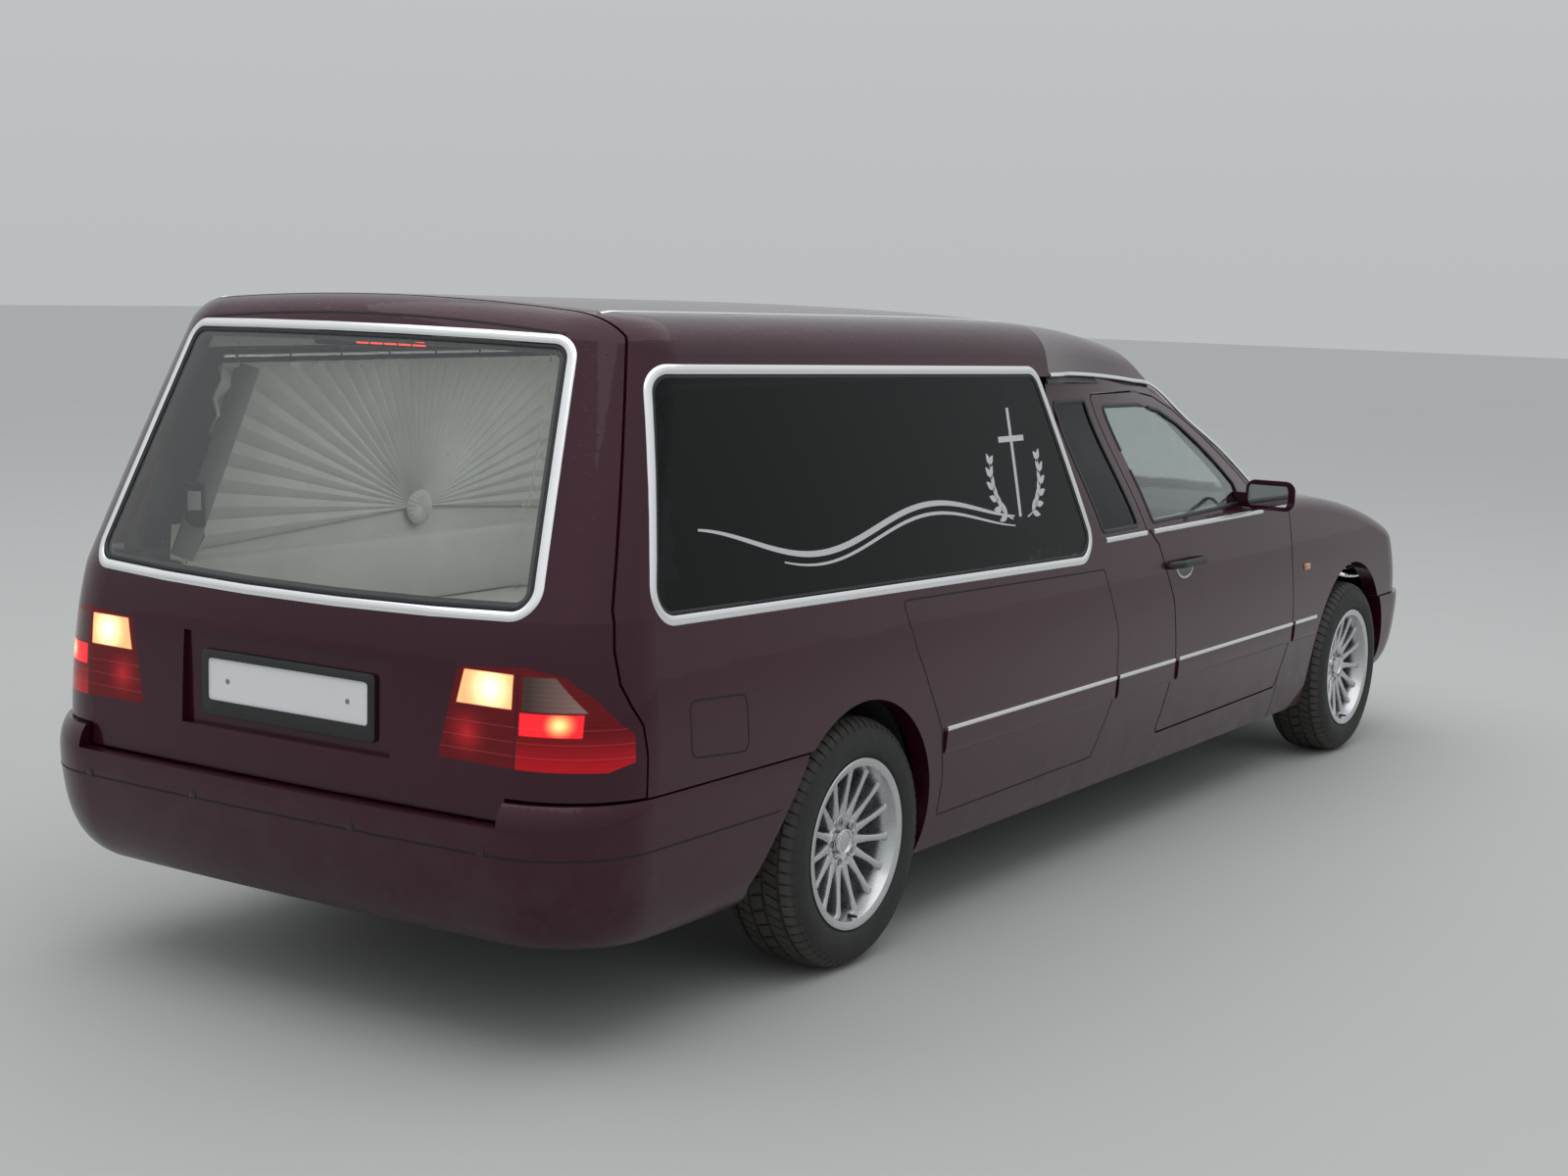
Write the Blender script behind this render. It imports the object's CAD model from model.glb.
import math
import bmesh
import bpy
from mathutils import Matrix, Vector
from mathutils.bvhtree import BVHTree


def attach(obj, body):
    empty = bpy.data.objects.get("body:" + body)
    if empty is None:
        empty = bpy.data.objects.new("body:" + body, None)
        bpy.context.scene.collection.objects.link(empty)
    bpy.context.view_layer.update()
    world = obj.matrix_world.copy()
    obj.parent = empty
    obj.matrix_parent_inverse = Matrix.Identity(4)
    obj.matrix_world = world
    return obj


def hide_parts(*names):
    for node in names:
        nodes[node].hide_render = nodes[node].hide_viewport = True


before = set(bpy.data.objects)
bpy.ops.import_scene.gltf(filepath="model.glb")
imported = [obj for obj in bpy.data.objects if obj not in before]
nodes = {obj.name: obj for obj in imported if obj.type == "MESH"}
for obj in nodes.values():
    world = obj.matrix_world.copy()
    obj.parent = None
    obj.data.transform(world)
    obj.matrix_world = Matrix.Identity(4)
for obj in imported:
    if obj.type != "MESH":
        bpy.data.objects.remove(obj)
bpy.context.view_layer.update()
scene = bpy.context.scene

# Places that the pieces below are worked out from, in metres: X forward, Y to the left, Z up
wheel_radius = 0.321
axle_x = {"front": 1.962, "rear": -1.608}
track_half = 0.768
seat_half = 0.370
hands = (("right", -1), ("left", 1))


# Camera
camera_at = (-6.52328, -3.81077, 1.73805)
yaw, pitch, roll = 0.575047, -0.134062, 0.0281312
forward = Vector((math.cos(pitch) * math.cos(yaw), math.cos(pitch) * math.sin(yaw), math.sin(pitch)))
level = forward.cross(Vector((0, 0, 1))).normalized()
above = level.cross(forward)
right = math.cos(roll) * level + math.sin(roll) * above
up = math.cos(roll) * above - math.sin(roll) * level
camera = bpy.data.objects.new("camera", bpy.data.cameras.new("camera"))
scene.collection.objects.link(camera)
camera.matrix_world = Matrix.Translation(camera_at) @ Matrix((right, up, -forward)).transposed().to_4x4()
camera.data.sensor_width = 36
camera.data.lens = 53.48
camera.data.clip_end = 200
scene.camera = camera
scene.view_settings.view_transform = "Standard"


# Shader helpers
looks = {}


class Field:
    """A shader node's output, to reckon with; what it is reckoned with is a number or a field."""

    def __init__(self, look, socket):
        self.look = look
        self.socket = socket

    def math(self, operation, other=0.0, clamp=False):
        return self.look.node("Math", {0: self, 1: other}, operation=operation, use_clamp=clamp)

    def __add__(self, other):
        return self.math("ADD", other)

    def __sub__(self, other):
        return self.math("SUBTRACT", other)

    def __mul__(self, other):
        return self.math("MULTIPLY", other)

    def rest(self):
        """What is left of 1."""
        return self.look.node("Math", {0: 1.0, 1: self}, operation="SUBTRACT")

    def ramp(self, low, high, out_low=0.0, out_high=1.0):
        """The field taken from low..high to out_low..out_high, held at the ends."""
        return self.look.node("MapRange", {0: self, 1: low, 2: high, 3: out_low, 4: out_high})

    def band(self, low, high, soft=0.0015):
        """1 where the field lies between low and high, with a soft edge."""
        return self.ramp(low - soft, low + soft) * self.ramp(high - soft, high + soft, 1.0, 0.0)


class Look:
    """A material with one Principled shader. Its inputs take numbers, colours or fields."""

    def __init__(self, name, slot, color, roughness=0.5, metallic=0.0, **sockets):
        self.mat = looks[name] = bpy.data.materials.new(name)
        self.mat.use_nodes = True
        self.mat.node_tree.nodes.clear()
        surface = self.node("BsdfPrincipled")
        self.shader = surface.socket.node
        sockets.update(base_color=color, roughness=roughness, metallic=metallic)
        for key, value in sockets.items():
            self.put(key.replace("_", " ").title().replace("Ior", "IOR"), value)
        self.node("OutputMaterial", {"Surface": surface}, None)
        # The point being shaded, in the piece's own frame, which for the body is the car's at rest
        self.at = self.node("TexCoord", output="Object")

    def put(self, key, value, shader=None):
        """Sets an input of the shader, or of another node."""
        socket = (shader or self.shader).inputs[key]
        if isinstance(value, Field):
            self.mat.node_tree.links.new(value.socket, socket)
        elif isinstance(value, tuple):
            socket.default_value = (*value, 1)
        else:
            socket.default_value = value

    def node(self, kind, inputs=None, output=0, **props):
        """A shader node with its properties and inputs set; gives the output named."""
        made = self.mat.node_tree.nodes.new("ShaderNode" + kind)
        for key, value in props.items():
            setattr(made, key, value)
        for key, value in (inputs or {}).items():
            self.put(key, value, made)
        return None if output is None else Field(self, made.outputs[output])

    def mix(self, share, first, second):
        """A colour between two others."""
        return self.node("Mix", {0: share, 6: first, 7: second}, 2, data_type="RGBA")

    def split(self, vector):
        """The x, y and z of a vector."""
        return [Field(self, part) for part in self.node("SeparateXYZ", {0: vector}).socket.node.outputs]

    def noise(self, scale, detail=3.0, roughness=0.5):
        inputs = {"Vector": self.at, "Scale": scale, "Detail": detail, "Roughness": roughness}
        return self.node("TexNoise", inputs, "Fac")

    def drops(self, scale, dry, size):
        """Scattered round drops, as the height of each; dry is the share of the cells without one."""
        cells = self.node("TexVoronoi", {"Vector": self.at, "Scale": scale, "Randomness": 1.0}, "Distance",
                          feature="F1")
        chance = self.node("SeparateColor", {0: Field(self, cells.socket.node.outputs["Color"])})
        return chance.ramp(dry, 1.0, 0.0, size).math("SUBTRACT", cells, True)

    def bump(self, height, strength, distance, coat=False):
        normal = self.node("Bump", {"Height": height, "Strength": strength, "Distance": distance})
        self.put("Normal", normal)
        if coat:
            self.put("Coat Normal", normal)


def shade(color, share):
    """A colour made darker or lighter."""
    return tuple(min(1, part * share) for part in color)


# Materials
def plain(name, slot, color, roughness, metallic, scale, color_spread, rough_spread, height, **sockets):
    """A material whose colour, gloss and surface vary a little with two noises."""
    look = Look(name, slot, color, roughness, metallic, **sockets)
    fine = look.noise(scale, 6, 0.6)
    dark, pale = shade(color, 1 - color_spread), shade(color, 1 + color_spread)
    look.put("Base Color", look.mix(look.noise(scale * 0.12, 4), dark, pale))
    low, high = max(0.0, roughness - rough_spread), min(1.0, roughness + rough_spread)
    look.put("Roughness", fine.ramp(0.3, 0.7, low, high))
    look.bump(fine, 0.5, height)


def make_paint():
    """Dark aubergine metallic lacquer, with rain drops on what faces up and road dust low down."""
    look = Look("aubergine_paint", "paint", (0.02, 0.004, 0.009), 0.36, 0.3, coat_weight=0.6,
                coat_roughness=0.012, specular_ior_level=0.15)
    z = look.split(look.at)[2]
    up_facing = look.split(look.node("NewGeometry", output="Normal"))[2]
    flakes = look.mix(look.noise(900, 2, 0.7).ramp(0.4, 0.75), (0.03, 0.0016, 0.0095), (0.064, 0.006, 0.024))
    dust = z.ramp(0.60, 0.24) * look.noise(9, 6, 0.65).ramp(0.42, 0.72) * 0.4
    look.put("Base Color", look.mix(dust, flakes, (0.085, 0.072, 0.06)))
    look.put("Roughness", dust.ramp(0.0, 0.4, 0.32, 0.6))
    drops = (look.drops(85, 0.45, 0.42) * 2.0).math("SQRT")
    look.bump(drops * up_facing.ramp(0.25, 0.6), 0.55, 0.0016, coat=True)


def make_glass(name, tint, rain=0.0, ior=1.5):
    """Tinted glass with a thin film of dirt and, where wanted, a few rain drops."""
    look = Look(name, "tinted_glass", tint, 0.0, transmission_weight=1.0, ior=ior)
    film = look.noise(14, 5, 0.6)
    look.put("Roughness", film.ramp(0.5, 0.85, 0.0, 0.04))
    look.put("Base Color", look.mix(film, tint, shade(tint, 0.88)))
    if rain:
        look.bump(look.drops(42, 1.0 - rain, 0.2), 0.6, 0.004)


def make_tyre_rubber():
    """Rubber, a little lighter and duller on the tread, with fine ribs in a ring on the sidewall."""
    look = Look("tyre_rubber", "tyre", (0.02, 0.02, 0.021), 0.7)
    x, _, z = look.split(look.at)
    radius = (x * x + z * z).math("SQRT")
    dirt = look.noise(26, 6, 0.7)
    worn = radius.ramp(0.297, 0.306) * dirt.ramp(0.35, 0.7, 0.4, 1.0)
    rubber = look.mix(dirt, (0.013, 0.013, 0.014), (0.028, 0.027, 0.026))
    look.put("Base Color", look.mix(worn, rubber, (0.075, 0.068, 0.058)))
    look.put("Roughness", dirt.ramp(0.3, 0.7, 0.58, 0.82))
    ribs = (x.math("ARCTAN2", z) * 260).math("SINE") * radius.band(0.281, 0.289, 0.001)
    rings = (radius * 1500).math("SINE") * radius.band(0.232, 0.240, 0.001)
    look.bump(ribs + rings + look.noise(420, 4, 0.6) * 0.5, 0.5, 0.0008)


def make_tail_lens():
    """The lit tail lamps: an amber and a smoked cell above, a lit red cell, and ribbed red below."""
    look = Look("red_lens", "lamp_glass", (0.3, 0.006, 0.012), 0.16, coat_weight=0.3, coat_roughness=0.02,
                specular_ior_level=0.12, emission_strength=1.0)
    _, y, z = look.split(look.at)
    y = y.math("ABSOLUTE")
    outer = y.ramp(0.673, 0.675)
    inner = outer.rest()
    lean = y - (z - 0.672) * 0.235
    amber = lean.band(0.484, 0.70) * y.band(0.4, 0.662) * z.band(0.798, 0.872) * inner
    shoulder = y * 0.779 + z * 0.626
    smoked = z.band(0.797, 0.871) * y.band(0.686, 0.9) * shoulder.band(0.5, 1.131) * outer
    lit = y.band(0.682, 0.806) * z.band(0.744, 0.793) * outer

    def glow(centre_y, centre_z, reach):
        """1 at a bulb's place behind the lens, falling off around it."""
        dy = y - centre_y
        dz = z - centre_z
        return (dy * dy + dz * dz).math("SQRT").ramp(0.0, reach, 1.0, 0.0).math("POWER", 2.0)

    lines = z.band(0.7592, 0.7608, 0.0008) + z.band(0.7272, 0.7288, 0.0008) + z.band(0.6972, 0.6988, 0.0008)
    red = look.mix(outer * z.ramp(0.76, 0.68), (0.16, 0.002, 0.006), (0.40, 0.003, 0.010))
    red = look.mix(lines * 0.35, red, (0.60, 0.10, 0.10))
    smoke = look.mix(y.ramp(0.70, 0.84), (0.075, 0.045, 0.038), (0.42, 0.25, 0.22))
    look.put("Base Color", look.mix(amber, look.mix(smoked, red, smoke), (0.85, 0.42, 0.2)))
    bulb = look.mix(glow(0.603, 0.837, 0.075), (0.80, 0.34, 0.13), (3.2, 2.3, 1.2))
    shine = look.mix(amber, (0, 0, 0), bulb)
    shine = look.mix(lit, shine, look.mix(glow(0.765, 0.771, 0.035), (0.95, 0.02, 0.03), (4.0, 1.5, 0.5)))
    shine = look.mix(glow(0.545, 0.735, 0.07) * inner * amber.rest(), shine, (0.35, 0.01, 0.015))
    shine = look.mix(outer * z.ramp(0.745, 0.66, 0.0, 0.5) * lit.rest(), shine, (0.30, 0.002, 0.006))
    look.put("Emission Color", shine)
    look.bump((z * (2 * math.pi / 0.0105)).math("SINE"), 0.35, 0.0006)


def make_head_lens():
    """Clear glass with fine upright flutes."""
    look = Look("clear_lens", "lamp_glass", (0.93, 0.95, 0.95), 0.02, transmission_weight=1.0, ior=1.45)
    look.put("Roughness", look.noise(20, 4).ramp(0.5, 0.9, 0.01, 0.06))
    look.bump((look.split(look.at)[1] * (2 * math.pi / 0.011)).math("SINE"), 0.25, 0.0006)


def make_weave(name, slot, color, threads, sheen=0.3):
    """Woven cloth: two crossed sets of threads, worn a little lighter in broad patches."""
    look = Look(name, slot, color, 0.88, sheen_weight=sheen, sheen_roughness=0.5)
    x, y, z = look.split(look.at)
    warp, weft = [((way + y * 0.5) * threads).math("SINE") for way in (x, z)]
    broad = look.noise(5, 4, 0.5)
    look.put("Base Color", look.mix(broad, shade(color, 0.82), shade(color, 1.1)))
    look.put("Roughness", broad.ramp(0.3, 0.7, 0.8, 0.95))
    look.bump(warp * weft, 0.3, 0.0004)


make_paint()
make_glass("tinted_glass", (0.012, 0.013, 0.016), 0.0, 1.27)
make_glass("grey_glass", (0.66, 0.70, 0.69), 0.16, 1.6)
make_glass("cab_glass", (0.80, 0.88, 0.86))
make_tyre_rubber()
make_tail_lens()
make_head_lens()
make_weave("pale_lining", "lining", (0.58, 0.58, 0.54), 2600, 0.2)
make_weave("drape_cloth", "lining", (0.60, 0.61, 0.57), 3200, 0.4)
make_weave("seat_cloth", "seat_cloth", (0.05, 0.053, 0.06), 1800)
# Columns: name, slot, colour, roughness, metallic, scale of the noise, spread of the colour and of the
# roughness, height of the surface
plain("chrome", "bright_trim", (0.96, 0.965, 0.97), 0.16, 1, 40, 0.03, 0.04, 0.00002)
plain("silver_alloy", "alloy", (0.60, 0.61, 0.62), 0.26, 0.9, 300, 0.06, 0.06, 0.00003, coat_weight=0.4)
plain("black_plastic", "cab_plastic", (0.016, 0.016, 0.017), 0.45, 0, 500, 0.2, 0.08, 0.00015)
plain("gloss_black", "cab_plastic", (0.006, 0.006, 0.007), 0.12, 0, 120, 0.1, 0.05, 0.00002, coat_weight=0.6)
plain("underseal", "underbody", (0.03, 0.029, 0.028), 0.8, 0, 90, 0.4, 0.1, 0.0012)
plain("cast_iron", "cast", (0.09, 0.09, 0.09), 0.6, 0.7, 200, 0.3, 0.12, 0.0006)
plain("disc_steel", "steel", (0.30, 0.29, 0.28), 0.34, 1, 150, 0.2, 0.1, 0.0002)
plain("reflector", "bright_trim", (0.88, 0.89, 0.90), 0.06, 1, 30, 0.02, 0.03, 0.00001)
plain("mirror_face", "bright_trim", (0.80, 0.82, 0.84), 0.03, 1, 20, 0.02, 0.02, 0.000005)
plain("seam_black", "cab_plastic", (0.004, 0.002, 0.003), 0.7, 0, 300, 0.1, 0.05, 0.00005)
plain("grey_trim", "cab_plastic", (0.22, 0.22, 0.215), 0.6, 0, 420, 0.08, 0.08, 0.0002)
plain("seat_piping", "seat_cloth", (0.035, 0.037, 0.042), 0.7, 0, 700, 0.15, 0.08, 0.0001)
plain("exhaust_steel", "steel", (0.32, 0.29, 0.26), 0.42, 0.9, 60, 0.35, 0.12, 0.0002)
plain("pale_deck", "lining", (0.55, 0.54, 0.50), 0.42, 0, 30, 0.06, 0.08, 0.0003)
plain("amber_lens", "lamp_glass", (0.6, 0.2, 0.03), 0.12, 0, 90, 0.08, 0.04, 0.0002, coat_weight=1.0)
plain("decal_silver", "bright_trim", (0.62, 0.64, 0.66), 0.35, 0.3, 200, 0.05, 0.08, 0.00003)
plain("plate_white", "plate", (0.80, 0.81, 0.82), 0.35, 0, 80, 0.03, 0.06, 0.0001)
plain("led_red", "lamp_glass", (0.7, 0.03, 0.03), 0.2, 0, 90, 0.1, 0.05, 0.0002,
      emission_color=(1.0, 0.06, 0.04), emission_strength=2.2)
plain("pale_floor", "", (0.47, 0.47, 0.46), 0.7, 0, 3, 0.02, 0.05, 0.0001)

# Looks of the CAD nodes; the others are painted
node_looks = {
    "tinted_glass": "side_windows", "grey_glass": "rear_window",
    "cab_glass": "windscreen door_glass_right door_glass_left", "clear_lens": "headlamps",
    "red_lens": "tail_lamps", "chrome": "grille", "plate_white": "number_plate", "cast_iron": "engine",
    "underseal": "floor_pan engine_bay front_axle rear_axle knuckle_right knuckle_left",
    "exhaust_steel": "exhaust", "pale_deck": "coffin_deck", "pale_lining": "partition",
    "seat_cloth": "front_seats", "black_plastic": "dashboard steering_wheel",
    "tyre_rubber": "tyre_front_left tyre_front_right tyre_rear_left tyre_rear_right",
    "silver_alloy": "rim_front_left rim_front_right rim_rear_left rim_rear_right",
}
look_of = {member: look for look, members in node_looks.items() for member in members.split()}
for member, made in nodes.items():
    made.data.materials.clear()
    made.data.materials.append(looks[look_of.get(member, "aubergine_paint")])


# Piece helpers
def piece(name, look, mesh, at=None, body="hearse_body"):
    """A mesh object with one material, which rides on a body. It stands at a place or in a frame."""
    if not mesh.materials:
        mesh.materials.append(looks[look])
    made = bpy.data.objects.new(name, mesh)
    scene.collection.objects.link(made)
    if at is not None:
        made.matrix_world = at if isinstance(at, Matrix) else Matrix.Translation(at)
    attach(made, body)
    return made


def finished(form, name, sharp=0.6, normals=True):
    """The form's mesh, smooth but for the edges that turn more than the angle; flat where that is None."""
    if normals:
        bmesh.ops.recalc_face_normals(form, faces=form.faces)
    mesh = bpy.data.meshes.new(name)
    form.to_mesh(mesh)
    form.free()
    if sharp:
        mesh.shade_smooth()
        mesh.set_sharp_from_angle(angle=sharp)
    return mesh


def form_of(*meshes):
    form = bmesh.new()
    for mesh in meshes:
        form.from_mesh(mesh)
    return form


def mesh_of(name, verts, faces, sharp=0.6):
    mesh = bpy.data.meshes.new(name)
    mesh.from_pydata([tuple(v) for v in verts], [], faces)
    return finished(form_of(mesh), name, sharp)


def quads(rows, width, ring=False, tube=False, start=0):
    """Faces of a grid of points in rows. A ring joins the last row to the first, a tube the row's ends."""
    faces = []
    for i in range(rows if ring else rows - 1):
        row, after = start + i * width, start + (i + 1) % rows * width
        faces += [(row + j, row + (j + 1) % width, after + (j + 1) % width, after + j)
                  for j in range(width if tube else width - 1)]
    return faces


def end_faces(rows, width):
    return [tuple(range(width)), tuple(range((rows - 1) * width, rows * width))]


def spread(low, high, parts):
    """Numbers from low to high in even steps."""
    return [low + (high - low) * part / parts for part in range(parts + 1)]


def twin(half, *middle):
    """A profile from its half on one side, and what lies on its middle."""
    return half + list(middle) + [(-across, out) for across, out in reversed(half)]


def tree_of(*names, extra=()):
    """One tree for casting rays on the CAD nodes named, and on more meshes."""
    verts, faces = [], []
    for mesh in [nodes[name].data for name in names] + list(extra):
        start = len(verts)
        verts += [v.co.copy() for v in mesh.vertices]
        faces += [[start + i for i in polygon.vertices] for polygon in mesh.polygons]
    return BVHTree.FromPolygons(verts, faces)


def ray(tree, start, way):
    """Where a ray meets the tree's faces, or None."""
    return tree.ray_cast(Vector(start), Vector(way))[0]


def cast(tree, start, way):
    """Where a ray meets the body, and the normal there, turned towards the ray's start."""
    way = Vector(way)
    at, normal = tree.ray_cast(Vector(start), way)[:2]
    if at is None:
        raise ValueError(f"nothing is hit from {start} along {way}")
    return at, (normal if normal.dot(way) < 0 else -normal)


def on_flank(tree, line, side):
    """Points of the flank at the (x, z) points of a line; over a gap they take the depth beside it."""
    beside = ((0, 0), (0, -0.008), (0, 0.008), (-0.008, 0), (0.008, 0), (-0.014, -0.014), (0.014, -0.014))
    made = []
    for x, z in line:
        for dx, dz in beside:
            at, normal = tree.ray_cast(Vector((x + dx, side * 1.4, z + dz)), Vector((0, -side, 0)))[:2]
            if at is not None and at.y * side > 0.4:
                break
        else:
            raise ValueError(f"no flank at {x}, {z}")
        made.append((Vector((x, at.y, z)), normal if normal.y * side > 0 else -normal))
    return made


def on_tail(tree, line):
    """Points of the tail at the (y, z) points of a line."""
    return [cast(tree, (-3.4, y, z), (1, 0, 0)) for y, z in line]


def on_nose(tree, line):
    """Points of the nose at the (y, z) points of a line."""
    return [cast(tree, (3.5, y, z), (-1, 0, 0)) for y, z in line]


def on_top(tree, line):
    """Points of the roof at the (x, y) points of a line."""
    return [cast(tree, (x, y, 2.4), (0, 0, -1)) for x, y in line]


def straight(points, step=0.04):
    """A line through the points, with more of them between."""
    made = [Vector(points[0])]
    for first, last in zip(points, points[1:]):
        first, last = Vector(first), Vector(last)
        parts = max(1, round((last - first).length / step))
        made += [first.lerp(last, part / parts) for part in range(1, parts + 1)]
    return made


def rounded(corners, radius, step=0.03):
    """Points round a closed outline of (u, v) corners; a corner that hardly turns isn't rounded."""
    made = []
    parts = 10
    for place, corner in enumerate(corners):
        here = Vector(corner)
        before = (Vector(corners[place - 1]) - here).normalized()
        after = (Vector(corners[(place + 1) % len(corners)]) - here).normalized()
        half = before.angle(after) / 2
        if half > 1.4:
            made.append(here)
            continue
        centre = here + (before + after).normalized() * radius / math.sin(half)
        spoke = here + before * radius / math.tan(half) - centre
        turn = (math.pi - 2 * half) * (-1 if before.x * after.y - before.y * after.x > 0 else 1)
        made += [centre + Matrix.Rotation(turn * part / parts, 2) @ spoke for part in range(parts + 1)]
    return straight(made + made[:1], step)[:-1]


def inset(points, amount):
    """The same closed outline, moved inward."""
    count = len(points)
    area = sum(points[i - 1].x * points[i].y - points[i].x * points[i - 1].y for i in range(count))
    made = []
    for i, here in enumerate(points):
        along = (points[(i + 1) % count] - points[i - 1]).normalized()
        made.append(here + Vector((-along.y, along.x)) * math.copysign(amount, amount * area))
    return made


def smooth_line(points, parts=8):
    """A smooth line through 3-D points."""
    spots = [Vector(p) for p in points]
    spots = [2 * spots[0] - spots[1]] + spots + [2 * spots[-1] - spots[-2]]
    made = []
    for a, b, c, d in zip(spots, spots[1:], spots[2:], spots[3:]):
        for t in spread(0, 1, parts)[:-1]:
            made.append(0.5 * (2 * b + (c - a) * t + (2 * a - 5 * b + 4 * c - d) * t * t
                               + (3 * b - a - 3 * c + d) * t ** 3))
    return made + [spots[-2]]


def heading(line, i, closed=False):
    """The line's direction at one of its points."""
    count = len(line)
    after = (i + 1) % count if closed else min(i + 1, count - 1)
    before = i - 1 if closed or i else 0
    return (line[after] - line[before]).normalized()


def ribbon(name, look, points, profile, closed=False, body="hearse_body"):
    """A strip along (place, normal) points. The profile's columns are across and proud of the surface."""
    line = [at for at, _ in points]
    verts = []
    for i, (at, normal) in enumerate(points):
        side = heading(line, i, closed).cross(normal).normalized()
        verts += [at + side * across + normal * proud for across, proud in profile]
    faces = quads(len(points), len(profile), closed, True)
    if not closed:
        faces += end_faces(len(points), len(profile))
    return piece(name, look, mesh_of(name, verts, faces), body=body)


def arched(width, height, foot=-0.002):
    """A strip's profile: flat below and arched above."""
    half = width / 2
    return twin([(-half, foot), (-half, height * 0.35), (-half * 0.72, height * 0.82)], (0, height))


def flat(width, low, high):
    """A strip's profile with square edges."""
    return twin([(-width / 2, low), (-width / 2, high)])


def tube(name, look, points, radius, sides=12, squeeze=1.0, body="hearse_body"):
    """A rod along 3-D points with rounded ends; squeeze flattens it."""
    spots = [Vector(p) for p in points]
    start, end = [(tip - inner).normalized() * radius for tip, inner in (spots[:2], spots[:-3:-1])]
    spots = [spots[0] + start * 0.7, spots[0]] + spots[1:-1] + [spots[-1], spots[-1] + end * 0.7]
    verts = []
    reference = None
    for i, at in enumerate(spots):
        along = heading(spots, i)
        if reference is None:
            reference = along.orthogonal() if abs(along.z) > 0.9 else along.cross((0, 0, 1))
        reference = (reference - along * reference.dot(along)).normalized()
        other = along.cross(reference) * squeeze
        share = 0.55 if i in (0, len(spots) - 1) else 1
        for angle in spread(0, 2 * math.pi, sides)[:-1]:
            verts.append(at + (reference * math.cos(angle) + other * math.sin(angle)) * radius * share)
    faces = quads(len(spots), sides, False, True) + end_faces(len(spots), sides)
    return piece(name, look, mesh_of(name, verts, faces, 0.9), body=body)


def skin(name, look, rows, thick=0.003, sharp=0.7, body="hearse_body"):
    """A sheet of some thickness through rows of points."""
    mesh = mesh_of(name, [v for row in rows for v in row], quads(len(rows), len(rows[0])), sharp)
    if thick:
        form = form_of(mesh)
        bmesh.ops.solidify(form, geom=form.faces, thickness=thick)
        mesh = finished(form, name, sharp, False)
    return piece(name, look, mesh, body=body)


def lattice(name, look, spot, across, upward, bar):
    """A grid of thin bars; spot(u, v) gives the point for u and v from 0 to 1."""
    lines = [[spot(u, v) for v in spread(0, 1, 4)] for u in spread(0, 1, across)]
    lines += [[spot(u, v) for u in spread(0, 1, 16)] for v in spread(0, 1, upward)]
    deep = Vector((bar * 0.8, 0, 0))
    verts, faces = [], []
    for line in lines:
        for first, last in zip(line, line[1:]):
            wide = (last - first).cross((1, 0, 0)).normalized() * bar / 2
            faces += quads(2, 4, False, True, len(verts))
            for at in (first, last):
                verts += [at - wide, at + wide, at + wide - deep, at - wide - deep]
    return piece(name, look, mesh_of(name, verts, faces))


def lathe_mesh(name, profile, steps=96, closed=True):
    """A ring about Y from (y, radius) points."""
    verts = [(math.sin(angle) * radius, y, math.cos(angle) * radius)
             for angle in spread(0, 2 * math.pi, steps)[:-1] for y, radius in profile]
    return mesh_of(name, verts, quads(steps, len(profile), True, closed))


def dome_mesh(name, radius, height, steps=32):
    """A shallow dome about Y that stands on y = 0."""
    return lathe_mesh(name, [(-0.002, radius), (height * 0.3, radius), (height * 0.75, radius * 0.86),
                             (height, radius * 0.5), (height, 0.0002)], steps, False)


def block(name, look, size, at, bevel=0.004, segments=3, body="hearse_body"):
    """A box with rounded edges; at is its middle, or the frame that it stands in."""
    form = bmesh.new()
    bmesh.ops.create_cube(form, size=1)
    bmesh.ops.scale(form, vec=size, verts=form.verts)
    bmesh.ops.bevel(form, geom=form.edges, offset=bevel, segments=segments, affect="EDGES", profile=0.5)
    return piece(name, look, finished(form, name, normals=False), at, body)


def facing(at, normal):
    """A frame at a point whose Y looks out along the normal and whose Z is as upright as it can be."""
    out = Vector(normal).normalized()
    across = out.cross(Vector((0, 0, 1))).normalized()
    return Matrix.Translation(at) @ Matrix((across, out, across.cross(out))).transposed().to_4x4()


# Bright trim round the windows and along the body
side_window_corners = [(-2.496, 0.966), (-2.362, 1.532), (-0.532, 1.496), (-0.262, 0.918)]
frame_width = 0.022
belt_z = 0.977
moulding_z = 0.560


def bowed_window():
    """The rear window's outline as (y, z), with its bottom bowed down and its top bowed up."""
    low_y, low_z, high_y, high_z = 0.706, 0.984, 0.604, 1.590
    spots = spread(-1, 1, 5)
    low = [(low_y * s, low_z - 0.016 * (1 - s * s)) for s in spots]
    high = [(-high_y * s, high_z + 0.008 * (1 - s * s)) for s in spots]
    return rounded(low + high, 0.064)


def glass_foot(hand, side):
    """The foot of the load space pane, below the belt line, between the frame and the pane above."""
    tree = tree_of(f"side_panel_{hand}", "side_windows")
    (rear_x, rear_z), (front_x, front_z) = side_window_corners[0], side_window_corners[-1]
    line = []
    for x in spread(-2.430, -0.285, 60):
        low_z = rear_z + (front_z - rear_z) * (x - rear_x) / (front_x - rear_x) + frame_width / 2
        line += [(x, low_z), (x, max(low_z + 0.002, 0.989))]
    verts = [at - normal * 0.003 for at, normal in on_flank(tree, line, side)]
    name = f"side_window_foot_{hand}"
    return piece(name, "tinted_glass", mesh_of(name, verts, quads(61, 2)))


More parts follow.
